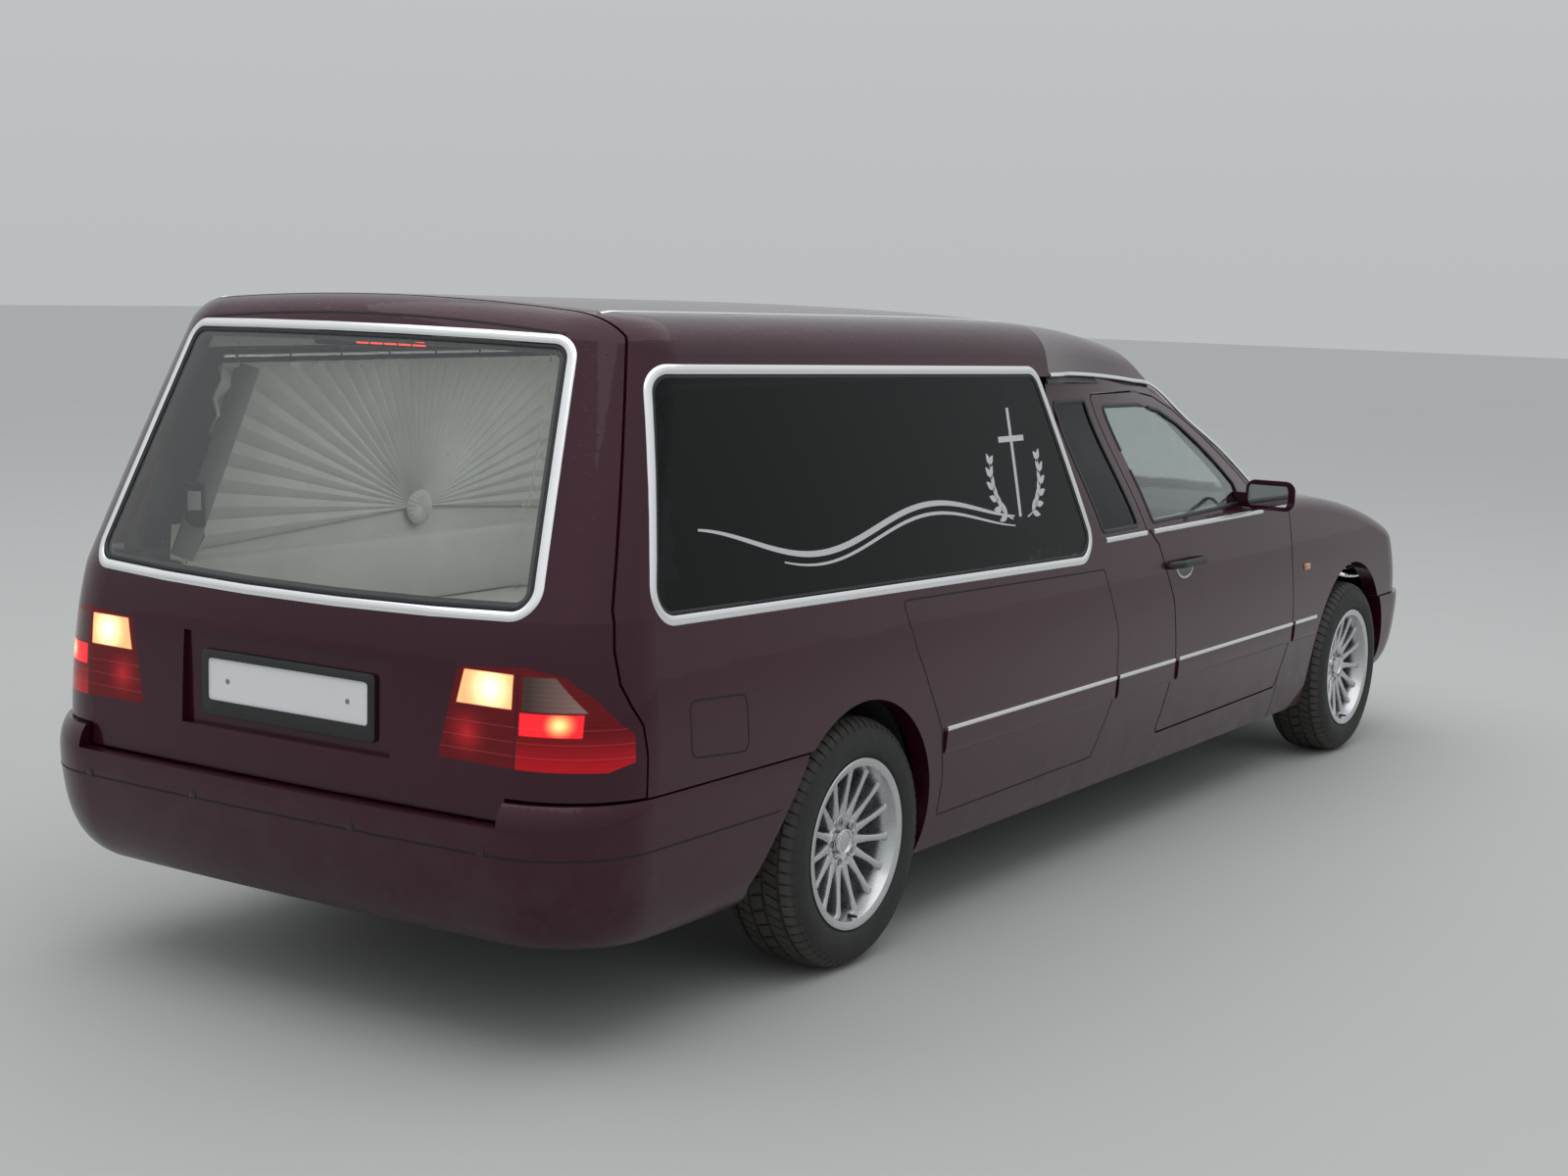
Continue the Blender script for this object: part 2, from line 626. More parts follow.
def window_trim():
    """Bright frames round the load space windows, with a rubber seal inside each."""
    outline = bowed_window()
    tail, pane = tree_of("tailgate"), tree_of("rear_window")
    for name, look, tree, depth, profile in (
            ("frame", "chrome", tail, frame_width / 2, arched(frame_width, 0.005)),
            ("seal", "black_plastic", pane, frame_width + 0.006, arched(0.009, 0.0035)),
            ("border", "gloss_black", pane, frame_width + 0.011, flat(0.020, -0.0088, -0.0076))):
        ribbon(f"rear_window_{name}", look, on_tail(tree, inset(outline, depth)), profile, True, "tailgate")
    outline = rounded(side_window_corners, 0.078)
    for hand, side in hands:
        panel = tree_of(f"side_panel_{hand}")
        pane = tree_of("side_windows", extra=[glass_foot(hand, side).data])
        for name, look, tree, depth, profile in (
                ("frame", "chrome", panel, frame_width / 2, arched(frame_width, 0.005)),
                ("seal", "black_plastic", pane, frame_width + 0.005, arched(0.008, 0.003))):
            line = on_flank(tree, inset(outline, depth), side)
            ribbon(f"side_window_{name}_{hand}", look, line, profile, True)


moulding_parts = (("rear", -1.212, -0.170), ("middle", -0.148, 0.268), ("door", 0.300, 1.306),
                  ("wing", 1.335, 1.556))
# The shut lines: name, radius of the corners, corners. The second one is on the right side only
seams = (
    ("blanked_door_seam", 0.012, [
        (-1.421, 0.920), (-1.368, 0.791), (-1.300, 0.671), (-1.232, 0.561), (-1.202, 0.422), (-1.202, 0.321),
        (-0.269, 0.329), (-0.173, 0.486), (-0.155, 0.568), (-0.161, 0.706), (-0.237, 0.893)]),
    ("fuel_flap_seam", 0.022, [(-2.371, 0.793), (-2.150, 0.781), (-2.141, 0.647), (-2.365, 0.665)]))


def side_trim():
    """Mouldings, bright strips and shut lines of the flanks, and the bright strips of the roof."""
    board = twin([(-0.038, -0.006), (-0.036, 0.001), (-0.031, 0.0050), (-0.022, 0.0066)])
    strip = twin([(-0.0065, -0.001), (-0.0062, 0.0062), (-0.0035, 0.0080)])
    for hand, side in hands:
        door = f"door_{hand}"
        body_names = (f"side_panel_{hand}", "cab_frame", "front_wings")
        trees = {"hearse_body": tree_of(*body_names), door: tree_of(door)}

        def strip_along(name, look, part, start, end, z, profile):
            """A strip along the flank at a height, on the door or on the body."""
            body = door if part == "door" else "hearse_body"
            line = on_flank(trees[body], straight([(start, z), (end, z)]), side)
            ribbon(f"{name}_{part}_{hand}", look, line, profile, body=body)

        for part in moulding_parts:
            strip_along("moulding_board", "aubergine_paint", *part, moulding_z - 0.031, board)
            strip_along("moulding_strip", "chrome", *part, moulding_z, strip)
        whole = tree_of(*body_names, door)
        for name, radius, corners in seams[:1 if side > 0 else 2]:
            ribbon(f"{name}_{hand}", "seam_black", on_flank(whole, rounded(corners, radius), side),
                   flat(0.0045, -0.002, 0.0004), True)
        for part in (("quarter", -0.214, 0.080), ("door", 0.132, 1.050)):
            strip_along("belt_strip", "chrome", *part, belt_z, arched(0.016, 0.005))
        roof_line = straight([(-2.360, side * 0.600), (-0.462, side * 0.600)])
        ribbon(f"roof_strip_{hand}", "chrome", on_top(tree_of("roof", f"side_panel_{hand}"), roof_line),
               arched(0.012, 0.003))


window_trim()
side_trim()


# Wheels
def join_rings(form, rings, ends=True):
    """Joins rings of the form's points one to the next, and closes the ends."""
    for first, last in zip(rings, rings[1:]):
        for j in range(len(first)):
            k = (j + 1) % len(first)
            form.faces.new((first[j], first[k], last[k], last[j]))
    if ends:
        form.faces.new(rings[0])
        form.faces.new(rings[-1])


def bolt_circle(form, rows, sides, ends):
    """Adds round or hexagon forms at the wheel's five bolts, from (radius, y) rows."""
    for bolt in range(5):
        angle = 2 * math.pi * bolt / 5
        middle = Vector((math.cos(angle) * 0.056, 0, math.sin(angle) * 0.056))
        join_rings(form, [[form.verts.new(middle + Vector((math.cos(a) * radius, y, math.sin(a) * radius)))
                           for a in spread(0, 2 * math.pi, sides)[:-1]] for radius, y in rows], ends)


def tyre_mesh():
    """The tyre with a grooved tread: five ribs of blocks on a smooth carcass."""
    form = form_of(lathe_mesh("tyre", twin([
        (0.0955, 0.203), (0.0955, 0.222), (0.1005, 0.227), (0.103, 0.232), (0.1045, 0.240), (0.1068, 0.250),
        (0.1072, 0.262), (0.1052, 0.276), (0.101, 0.288), (0.0955, 0.298), (0.088, 0.3045), (0.076, 0.3085),
        (0.0600, 0.3110), (0.0300, 0.3128)], (0, 0.3134)), 144))
    depth = 0.0085
    block_share = 0.82
    # Columns: the rib's outer line as (y, radius) points, blocks round the tyre, lean of each block
    for line, blocks, lean in (([(-0.0985, 0.2975), (-0.0850, 0.3110), (-0.0700, 0.3172)], 66, 0.25),
                               ([(-0.0600, 0.3190), (-0.0260, 0.3206)], 66, 0.45),
                               ([(-0.0160, 0.3209), (0.0160, 0.3209)], 44, -0.3),
                               ([(0.0260, 0.3206), (0.0600, 0.3190)], 66, 0.45),
                               ([(0.0700, 0.3172), (0.0850, 0.3110), (0.0985, 0.2975)], 66, 0.25)):
        block_angle = 2 * math.pi / blocks
        for number in range(blocks):
            rows = []
            for y, radius in line:
                start = number * block_angle + lean * (y - line[0][0]) / wheel_radius
                corners = []
                for angle in (start, start + block_angle * block_share):
                    way = Vector((math.sin(angle), 0, math.cos(angle)))
                    corners += [form.verts.new(way * far + Vector((0, y, 0)))
                                for far in (radius - depth, radius)]
                rows.append(corners)
            for first, last in zip(rows, rows[1:]):
                for a, b in ((1, 3), (0, 1), (3, 2)):
                    form.faces.new((first[a], first[b], last[b], last[a]))
            for row in (rows[0], rows[-1]):
                form.faces.new((row[0], row[1], row[3], row[2]))
    return finished(form, "tyre")


def rim_mesh():
    """The alloy wheel: a welled barrel, a hub and fifteen tapering spokes that run out to the lip."""
    barrel = [(-0.096, 0.216), (-0.096, 0.202), (-0.082, 0.192), (-0.034, 0.186), (0.030, 0.186),
              (0.062, 0.190), (0.090, 0.200), (0.096, 0.2045), (0.0965, 0.2165), (0.0975, 0.2185),
              (0.0995, 0.219), (0.101, 0.2175), (0.101, 0.212), (0.0965, 0.198), (0.066, 0.183),
              (0.034, 0.179), (-0.036, 0.179), (-0.084, 0.184), (-0.101, 0.199), (-0.101, 0.216)]
    hub = [(-0.040, 0.030), (-0.040, 0.064), (0.006, 0.066), (0.030, 0.071), (0.050, 0.0725),
           (0.0545, 0.0715), (0.0565, 0.069), (0.056, 0.064), (0.0535, 0.060), (0.050, 0.046),
           (0.046, 0.040), (0.044, 0.030)]
    form = form_of(*[lathe_mesh("rim_ring", profile, 120) for profile in (barrel, hub)])
    # Columns: radius of the section, half width, outer face, inner face
    sections = [(0.052, 0.0165, 0.054, 0.014), (0.075, 0.0125, 0.0575, 0.022),
                (0.110, 0.0092, 0.0635, 0.034), (0.150, 0.0082, 0.0705, 0.046),
                (0.176, 0.0096, 0.0752, 0.054), (0.190, 0.0135, 0.0775, 0.058),
                (0.1985, 0.019, 0.080, 0.062)]
    spokes = 15
    for spoke in range(spokes):
        turn = Matrix.Rotation(2 * math.pi * spoke / spokes, 4, "Y")
        rings = []
        for radius, half, outer, inner in sections:
            ring = twin([(-half * 0.86, inner), (-half, inner + 0.004), (-half, outer - 0.0050),
                         (-half * 0.86, outer - 0.0016), (-half * 0.55, outer)], (0, outer + 0.0006))
            rings.append([form.verts.new(turn @ Vector((x, y, radius))) for x, y in ring])
        join_rings(form, rings)
    well = [(0.0155, 0.0525), (0.0155, 0.057), (0.0145, 0.058), (0.0125, 0.0575), (0.012, 0.045)]
    bolt_circle(form, well, 28, False)
    return finished(form, "rim")


def bolts_mesh():
    """Five wheel bolts with hexagon heads, in the wells of the wheel's hub."""
    form = bmesh.new()
    for radius, low, high, sides in ((0.0085, 0.044, 0.056, 6), (0.0108, 0.044, 0.047, 24)):
        bolt_circle(form, [(radius, low), (radius, high - 0.001), (radius * 0.86, high)], sides, True)
    return finished(form, "wheel_bolts", None)


def wheels():
    """Tyres, rims, bolts, caps and brakes; the right wheels are the left ones turned half round."""
    turned = [("tyre_tread", "tyre_rubber", tyre_mesh()), ("spoked_rim", "silver_alloy", rim_mesh()),
              ("wheel_bolts", "disc_steel", bolts_mesh())]
    for name, look, steps, closed, profile in (
            ("wheel_cap", "silver_alloy", 48, False,
             [(0.040, 0.0), (0.062, 0.0), (0.0625, 0.018), (0.0605, 0.0285), (0.0585, 0.031),
              (0.056, 0.0325), (0.040, 0.0325)]),
            ("cap_ring", "chrome", 48, True,
             [(0.0575, 0.0275), (0.064, 0.029), (0.064, 0.0318), (0.0575, 0.0335)]),
            ("brake_disc", "disc_steel", 72, True,
             [(-0.050, 0.062), (-0.050, 0.142), (-0.028, 0.142), (-0.028, 0.085), (-0.014, 0.080),
              (-0.014, 0.062)]),
            ("brake_shield", "underseal", 48, True,
             [(-0.056, 0.060), (-0.058, 0.165), (-0.053, 0.168), (-0.053, 0.060)]),
            ("tyre_valve", "black_plastic", 16, False,
             [(0.078, 0.0), (0.104, 0.0), (0.104, 0.0035), (0.078, 0.0045)])):
        turned.append((name, look, lathe_mesh(name, profile, steps, closed)))
    replaced = {"tyre_tread": "tyre", "spoked_rim": "rim"}
    for end, axle in axle_x.items():
        for hand, side in hands:
            at = Matrix.Translation((axle, side * track_half, wheel_radius))
            if side < 0:
                at = at @ Matrix.Rotation(math.pi, 4, "Z")
            carrier = f"knuckle_{hand}" if end == "front" else "hearse_body"
            for name, look, mesh in turned:
                where = at @ Matrix.Translation((0, 0, -0.188 if name == "tyre_valve" else 0))
                made = piece(f"{name}_{end}_{hand}", look, mesh, where,
                             carrier if name == "brake_shield" else f"wheel_{end}_{hand}")
                if name in replaced:
                    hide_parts(f"{replaced[name]}_{end}_{hand}")
            block(f"brake_caliper_{end}_{hand}", "cast_iron", (0.070, 0.070, 0.150),
                  (axle - 0.118, side * (track_half - 0.040), wheel_radius + 0.02), 0.012, body=carrier)


wheels()


# Decoration on the load space windows
def window_decoration():
    """A plain cross between two twigs, over two flowing lines, as bands on the pane."""
    cross_x, cross_low, cross_high, bar_z = -0.735, 1.085, 1.385, 1.300
    twig_z, twig_radius = 1.205, 0.125
    strokes = []
    for offset, width, start in ((0.0, 0.014, 0.0), (-0.026, 0.007, 0.22)):
        line = [(-2.270 + 1.500 * share,
                 1.115 + offset + 0.050 * math.sin(2 * math.pi * (share * 1.35 + 0.30)) * (1 - 0.35 * share))
                for share in spread(start, 1, 60)]
        strokes.append((line, [0.002 + width * math.sin(math.pi * min(1, 0.04 + t * 0.93)) ** 0.7
                               for t in spread(0, 1, 60)]))
    strokes.append(([(cross_x, z) for z in spread(cross_low, cross_high, 12)], [0.016] * 13))
    strokes.append(([(x, bar_z) for x in spread(cross_x - 0.075, cross_x + 0.075, 8)], [0.016] * 9))
    for way in (-1, 1):
        # A twig: a quarter circle that rises outward from the foot of the cross
        middle = Vector((cross_x + way * 0.022, twig_z))
        twig = [middle + Vector((way * math.cos(angle), math.sin(angle))) * twig_radius
                for angle in spread(math.radians(-80), math.radians(15), 12)]
        strokes.append((twig, spread(0.005, 0.0025, 12)))
        for leaf in range(1, 7):
            base = twig[2 * leaf]
            ahead = (base - twig[2 * leaf - 1]).normalized()
            for turn in (0.62, -0.62):
                tip = Matrix.Rotation(turn, 2) @ ahead * (0.050 - 0.003 * leaf)
                strokes.append(([base + tip * t for t in spread(0, 1, 8)],
                                [0.0015 + 0.017 * math.sin(math.pi * t ** 0.8) for t in spread(0, 1, 8)]))
    tree = tree_of("side_windows")
    for hand, side in hands:
        verts, faces = [], []
        for line, widths in strokes:
            line = [Vector(spot) for spot in line]
            edges = []
            for i, here in enumerate(line):
                along = heading(line, i)
                across = Vector((-along.y, along.x)) * widths[i] / 2
                edges += [here - across, here + across]
            faces += quads(len(line), 2, start=len(verts))
            verts += [at + normal * 0.0006 for at, normal in on_flank(tree, edges, side)]
        name = f"window_decoration_{hand}"
        piece(name, "decal_silver", mesh_of(name, verts, faces))


window_decoration()


# Inside of the load space
def wall_y(z):
    """How far out the drapes hang at a height."""
    return 0.790 - (z - 0.96) * 0.150


def side_linings(hand, side):
    """The pale lining below and above a load space window, with the ledge, rail and pillar beside it."""
    ledge = [(0.800, 0.764), (0.748, 0.768), (0.742, 0.776), (0.742, 0.860), (0.742, 0.936), (0.745, 0.947),
             (0.753, 0.953), (0.770, 0.955), (0.788, 0.955), (0.795, 0.958), (0.796, 0.966), (0.794, 1.000),
             (0.790, 1.048)]
    skin(f"ledge_lining_{hand}", "pale_lining", [[Vector((x, side * y, z)) for y, z in ledge]
                                                 for x in spread(-2.352, -0.590, 44)])
    tree = tree_of(f"side_panel_{hand}", "roof")
    skin(f"upper_lining_{hand}", "pale_lining",
         [[cast(tree, (x, side * 0.2, z), (0, side, 0))[0] - Vector((0, side * 0.007, 0))
           for z in (1.512, 1.530, 1.550, 1.565)] for x in spread(-2.330, -0.590, 36)])
    rail = [(x, side * 0.700, 1.487) for x in (-2.25, -2.0, -1.6, -1.2, -0.9, -0.64)]
    tube(f"curtain_rail_{hand}", "chrome", smooth_line(rail, 4), 0.0055)
    for step in range(9):
        block(f"rail_clip_{hand}_{step}", "black_plastic", (0.010, 0.036, 0.022),
              (-2.21 + 0.1925 * step, side * 0.712, 1.493), 0.003)
    pillar_normal = Vector((-0.55, -side * 0.8, -0.2)).normalized()
    pillar = [(Vector((-2.172 - 0.205 * t, side * (0.692 + 0.030 * t), 1.462 - 0.490 * t)), pillar_normal)
              for t in spread(0, 1, 14)]
    ribbon(f"pillar_trim_{hand}", "grey_trim", pillar,
           twin([(-0.031, -0.002), (-0.031, 0.004), (-0.025, 0.009)], (0, 0.011)))
    box = facing(Vector((-2.345, side * 0.708, 1.105)), (-0.72, -side * 0.62, -0.1))
    block(f"pillar_box_{hand}", "black_plastic", (0.052, 0.022, 0.115), box, 0.007)
    block(f"pillar_label_{hand}", "plate_white", (0.034, 0.0016, 0.050),
          box @ Matrix.Translation((0, 0.0115, 0.014)), 0.0006)


def fan_drape(hand, side):
    """Pressed pleats fanned out over a load space window, edged with braid, and a rosette at their foot."""
    middle_x, middle_z = -1.420, 1.035
    rear, front, low, high = -2.262, -0.632, 0.976, 1.462
    hub = 0.022
    pleats, steps = 36, 8
    rows, edge = [], []
    for column in range(pleats * steps + 1):
        angle = math.radians(184 - 188 * column / (pleats * steps))
        dx, dz = math.cos(angle), math.sin(angle)
        reach = ((front if dx > 0 else rear) - middle_x) / dx if abs(dx) > 1e-6 else 9
        reach = min(reach, ((high if dz > 0 else low) - middle_z) / dz if abs(dz) > 1e-6 else 9)
        fold = 1 - abs(2 * (column % steps) / steps - 1)
        row = []
        for share in spread(0, 1, 16):
            radius = hub + (reach - hub) * share
            z = middle_z + dz * radius
            depth = (0.004 + 0.017 * share ** 0.8) * (fold ** 0.7)
            row.append(Vector((middle_x + dx * radius, side * (wall_y(z) - depth), z)))
        rows.append(row)
        edge.append((row[-1] - Vector((0, side * 0.004, 0)), Vector((0, -side, 0))))
    drape = skin(f"fan_drape_{hand}", "drape_cloth", rows, 0, 0.35)
    braid = ribbon(f"drape_braid_{hand}", "drape_cloth", edge[::4] + edge[-1:],
                   twin([(-0.007, -0.001), (-0.006, 0.002)], (0, 0.003)))
    verts = []
    petals, columns = 20, 120
    for angle in spread(0, 2 * math.pi, columns)[:-1]:
        fold = 0.5 - 0.5 * math.cos(angle * petals)
        for radius, depth in ((0.052, 0.004), (0.047, 0.012 + 0.006 * fold), (0.030, 0.020 + 0.005 * fold),
                              (0.012, 0.017 + 0.002 * fold), (0.001, 0.014)):
            verts.append((middle_x + math.cos(angle) * radius, side * (wall_y(middle_z) - depth),
                          middle_z + math.sin(angle) * radius))
    mesh = mesh_of("rosette", verts, quads(columns, 5, True), 1.2)
    rosette = piece(f"drape_rosette_{hand}", "drape_cloth", mesh)


def load_space():
    """Headliner, tailgate lining, and the runners and rollers of the deck."""
    tree = tree_of("roof", "side_panel_right", "side_panel_left")
    rows = []
    for x in spread(-2.335, -0.595, 44):
        quilt = 0.0022 * math.cos(x * 30) ** 8
        row = []
        for y in spread(-0.672, 0.672, 28):
            roof_z = ray(tree, (x, y, 1.3), (0, 0, 1)).z
            row.append(Vector((x, y, min(roof_z - 0.010, 1.612 - 0.10 * y * y) - quilt)))
        rows.append(row)
    skin("load_space_headliner", "pale_lining", rows)
    gate = tree_of("tailgate")
    rows = []
    for z in (0.780, 0.820, 0.860, 0.900, 0.940):
        hits = [(ray(gate, (-2.2, y, z), (-1, 0, 0)), y) for y in spread(-0.60, 0.60, 24)]
        rows.append([Vector((max(at.x if at else -2.68, -2.69) + 0.006, y, z)) for at, y in hits])
    skin("tailgate_lining", "grey_trim", rows, body="tailgate")
    for name, side in (("left", 1), ("right", -1)):
        line = [(Vector((x, side * 0.235, 0.760)), Vector((0, 0, 1))) for x in spread(-2.56, -0.62, 40)]
        ribbon(f"deck_runner_{name}", "silver_alloy", line,
               twin([(-0.024, -0.001), (-0.024, 0.004), (-0.020, 0.006), (-0.011, 0.006), (-0.009, 0.003)]))
    for number, x in enumerate(spread(-2.50, -0.75, 5)):
        tube(f"deck_roller_{number}", "black_plastic", [(x, y, 0.775) for y in (-0.205, -0.15, 0.15, 0.205)],
             0.013, 20)
        for name, side in (("left", 1), ("right", -1)):
            block(f"roller_bracket_{number}_{name}", "silver_alloy", (0.036, 0.006, 0.030),
                  (x, side * 0.216, 0.776), 0.002)


# Fittings on the outside
def resampled(line, count):
    """Evenly spaced points round a closed outline."""
    lengths = [(line[(i + 1) % len(line)] - line[i]).length for i in range(len(line))]
    made = []
    for goal in spread(0, sum(lengths), count)[:-1]:
        for i, length in enumerate(lengths):
            if length >= goal:
                made.append(line[i].lerp(line[(i + 1) % len(line)], goal / length))
                break
            goal -= length
    return made


def tail_fittings():
    """Third brake light, plate surround, bolts and lamps, parking sensors."""
    housing = Matrix.Translation((-2.447, 0, 1.559)) @ Matrix.Rotation(-0.35, 4, "Y")
    block("brake_light_housing", "black_plastic", (0.040, 0.345, 0.030), housing, 0.006, body="tailgate")
    for number in range(5):
        cell = housing @ Matrix.Translation((-0.0205, -0.075 + 0.044 * (number - 2), 0.001))
        block(f"brake_light_cell_{number}", "led_red", (0.004, 0.038, 0.011), cell, 0.0015, body="tailgate")
    outer = rounded([(-0.274, 0.672), (-0.274, 0.828), (0.274, 0.828), (0.274, 0.672)], 0.010)
    inner = rounded([(-0.254, 0.709), (-0.254, 0.809), (0.254, 0.809), (0.254, 0.709)], 0.006)
    rings = ((outer, -2.717), (outer, -2.7305), (inset(outer, 0.003), -2.7325), (inner, -2.7325),
             (inner, -2.717))
    around = 120
    verts = [(x, p.x, p.y) for line, x in rings for p in resampled(line, around)]
    mesh = mesh_of("plate_surround", verts, quads(len(rings), around, False, True))
    piece("plate_surround", "black_plastic", mesh, body="tailgate")
    bolt = dome_mesh("plate_bolt", 0.006, 0.003, 20)
    for name, side in (("left", 1), ("right", -1)):
        bolt_at = facing((-2.728, side * 0.19, 0.758), (-1, 0, 0))
        piece(f"plate_bolt_{name}", "exhaust_steel", bolt, bolt_at, "tailgate")
        block(f"plate_lamp_{name}", "clear_lens", (0.018, 0.050, 0.010), (-2.712, side * 0.1235, 0.862),
              0.003, body="tailgate")
    sensor = dome_mesh("sensor", 0.0105, 0.002)
    ring_profile = [(-0.002, 0.0105), (0.0014, 0.0105), (0.0014, 0.013), (-0.002, 0.0138)]
    ring = lathe_mesh("sensor_ring", ring_profile, 32)
    spots = on_tail(tree_of("rear_bumper"), [(y, 0.490) for y in (-0.62, -0.25, 0.25, 0.62)])
    for number, (at, normal) in enumerate(spots):
        piece(f"parking_sensor_{number}", "aubergine_paint", sensor, facing(at, normal))
        piece(f"parking_sensor_ring_{number}", "black_plastic", ring, facing(at, normal))


def tail_seams():
    """The groove round the rear bumper, and the one under the roof's rear edge."""
    bumper = tree_of("rear_bumper")
    line = []
    for angle in spread(math.radians(-118), math.radians(118), 400):
        way = Vector((-math.cos(angle), math.sin(angle) * 0.62, 0)).normalized()
        at, normal = bumper.ray_cast(Vector((-1.95, 0, 0.482)) + way * 3, -way)[:2]
        if at is not None and at.x < -1.99:
            line.append((at, normal if normal.dot(way) > 0 else -normal))
    ribbon("bumper_groove", "seam_black", line, flat(0.0045, -0.002, 0.0005))
    line = on_tail(tree_of("tailgate"), [(0.57 * s, 1.6195 - 0.028 * s * s) for s in spread(-1, 1, 40)])
    ribbon("roof_edge_groove", "seam_black", line, flat(0.006, -0.002, 0.0005), body="tailgate")


def door_handle(hand, side):
    """The grip with the dish behind it, its bright ring, and the lock."""
    body = f"door_{hand}"
    door = tree_of(body)
    grip = []
    for i, (at, normal) in enumerate(on_flank(door, [(x, 0.862) for x in spread(0.236, 0.476, 24)], side)):
        away = 0.030 * min(1, math.sin(math.pi * i / 24) * 2.4) ** 0.8
        grip.append(at + normal * (away + 0.002))
    tube(f"door_handle_{hand}", "black_plastic", grip, 0.0125, 16, body=body)

    def arc(share):
        return on_flank(door, [(0.350 + 0.062 * share * math.cos(a), 0.852 + 0.036 * share * math.sin(a))
                               for a in spread(math.pi, 2 * math.pi, 24)], side)

    skin(f"handle_dish_{hand}", "gloss_black", [[at + normal * 0.0008 for at, normal in arc(share)]
                                                for share in spread(0, 1, 6)], 0, body=body)
    ribbon(f"handle_ring_{hand}", "silver_alloy", arc(1), arched(0.007, 0.0025), body=body)
    piece(f"door_lock_{hand}", "disc_steel", dome_mesh("door_lock", 0.0095, 0.003),
          facing(*on_flank(door, [(0.515, 0.862)], side)[0]), body)


def mirror_glass(hand, side):
    tree = tree_of(f"mirror_{hand}")
    rows = []
    for v in spread(-1, 1, 8):
        row = []
        for u in spread(-0.071, 0.071, 12):
            y, z = side * (0.893 + u * (1 - 0.10 * v ** 4)), 1.037 + 0.035 * v
            at = ray(tree, (0.5, y, z), (1, 0, 0))
            row.append(Vector(((at.x if at else 0.986) - 0.0015, y, z)))
        rows.append(row)
    skin(f"mirror_glass_{hand}", "mirror_face", rows, 0.001, body=f"door_{hand}")


def cab_window_trim(hand, side):
    """The bright line over the cab door, and the seals of the cab's side windows."""
    drip = [(-0.450, 0.765, 1.470), (-0.350, 0.752, 1.469), (-0.200, 0.714, 1.466), (0.100, 0.662, 1.452),
            (0.400, 0.630, 1.430), (0.650, 0.598, 1.402), (0.850, 0.634, 1.291), (1.060, 0.676, 1.180),
            (1.250, 0.710, 1.062), (1.360, 0.730, 0.992)]
    for name, look, line, normal, profile in (
            ("drip_strip", "chrome", [(x, side * (y + 0.003), z) for x, y, z in drip], (0, side * 0.86, 0.5),
             arched(0.012, 0.004, -0.004)),
            ("door_top_seal", "black_plastic", [(x, side * (y - 0.006), z - 0.016) for x, y, z in drip[:8]],
             (0, side * 0.95, 0.3), flat(0.022, -0.003, 0.001))):
        spots = [(p, Vector(normal).normalized()) for p in smooth_line(line)]
        ribbon(f"{name}_{hand}", look, spots, profile)
    door = tree_of(f"door_{hand}", f"door_glass_{hand}")
    quarter = tree_of(f"side_panel_{hand}", "side_windows", "cab_frame")
    door_outline = rounded([(0.170, 1.002), (0.098, 1.358), (0.420, 1.352), (0.590, 1.328), (0.725, 1.278),
                            (0.850, 1.206), (0.952, 1.138), (1.046, 1.066), (1.052, 1.002)], 0.016)
    # The seal lies on the outline as it comes back from an inset
    door_outline = inset(inset(door_outline, 0.006), -0.006)
    quarter_outline = rounded([(-0.205, 1.000), (-0.262, 1.380), (-0.034, 1.380), (0.052, 1.000)], 0.014)
    ribbon(f"door_glass_seal_{hand}", "black_plastic", on_flank(door, door_outline, side),
           arched(0.013, 0.003), True, f"door_{hand}")
    ribbon(f"quarter_glass_seal_{hand}", "black_plastic", on_flank(quarter, quarter_outline, side),
           arched(0.013, 0.003), True)
    at, normal = on_flank(quarter, [(-0.149, 1.034)], side)[0]
    latch_at = facing(at - normal * 0.012, normal)
    block(f"quarter_latch_{hand}", "black_plastic", (0.030, 0.012, 0.022), latch_at)


def lamp_inside(label, hand, side, y, z, wide, tall):
    """The reflector, bulb and bulb cap behind a head lamp's lens."""
    steps, rings = 48, 10
    lens = tree_of("headlamps")
    oval = [(side * y + wide * 0.94 * math.cos(a), z + tall * 0.94 * math.sin(a))
            for a in spread(0, 2 * math.pi, steps)[:-1]]
    rim = [at - Vector((0.014, 0, 0)) for at, _ in on_nose(lens, oval)]
    middle = sum(rim, Vector()) / steps - Vector((0.075, 0, 0))
    verts = []
    for share in spread(1, 0.1, rings - 1):
        for spot in rim:
            here = middle.lerp(spot, share)
            here.x = middle.x + (spot.x - middle.x) * share ** 2
            verts.append(here)
    faces = quads(rings, steps, False, True) + end_faces(rings, steps)[1:]
    piece(f"lamp_bowl_{label}_{hand}", "reflector", mesh_of("lamp_bowl", verts, faces, 1.0))
    for name, look, profile in (
            ("lamp_bulb", "clear_lens", [(0, 0.0085), (0.030, 0.0085), (0.038, 0.006), (0.041, 0.0003)]),
            ("lamp_cap", "chrome", [(0.030, 0.0115), (0.046, 0.0105), (0.050, 0.007), (0.051, 0.0003)])):
        mesh = lathe_mesh(name, profile, 24, False)
        piece(f"{name}_{label}_{hand}", look, mesh, facing(middle, (1, 0, 0)))


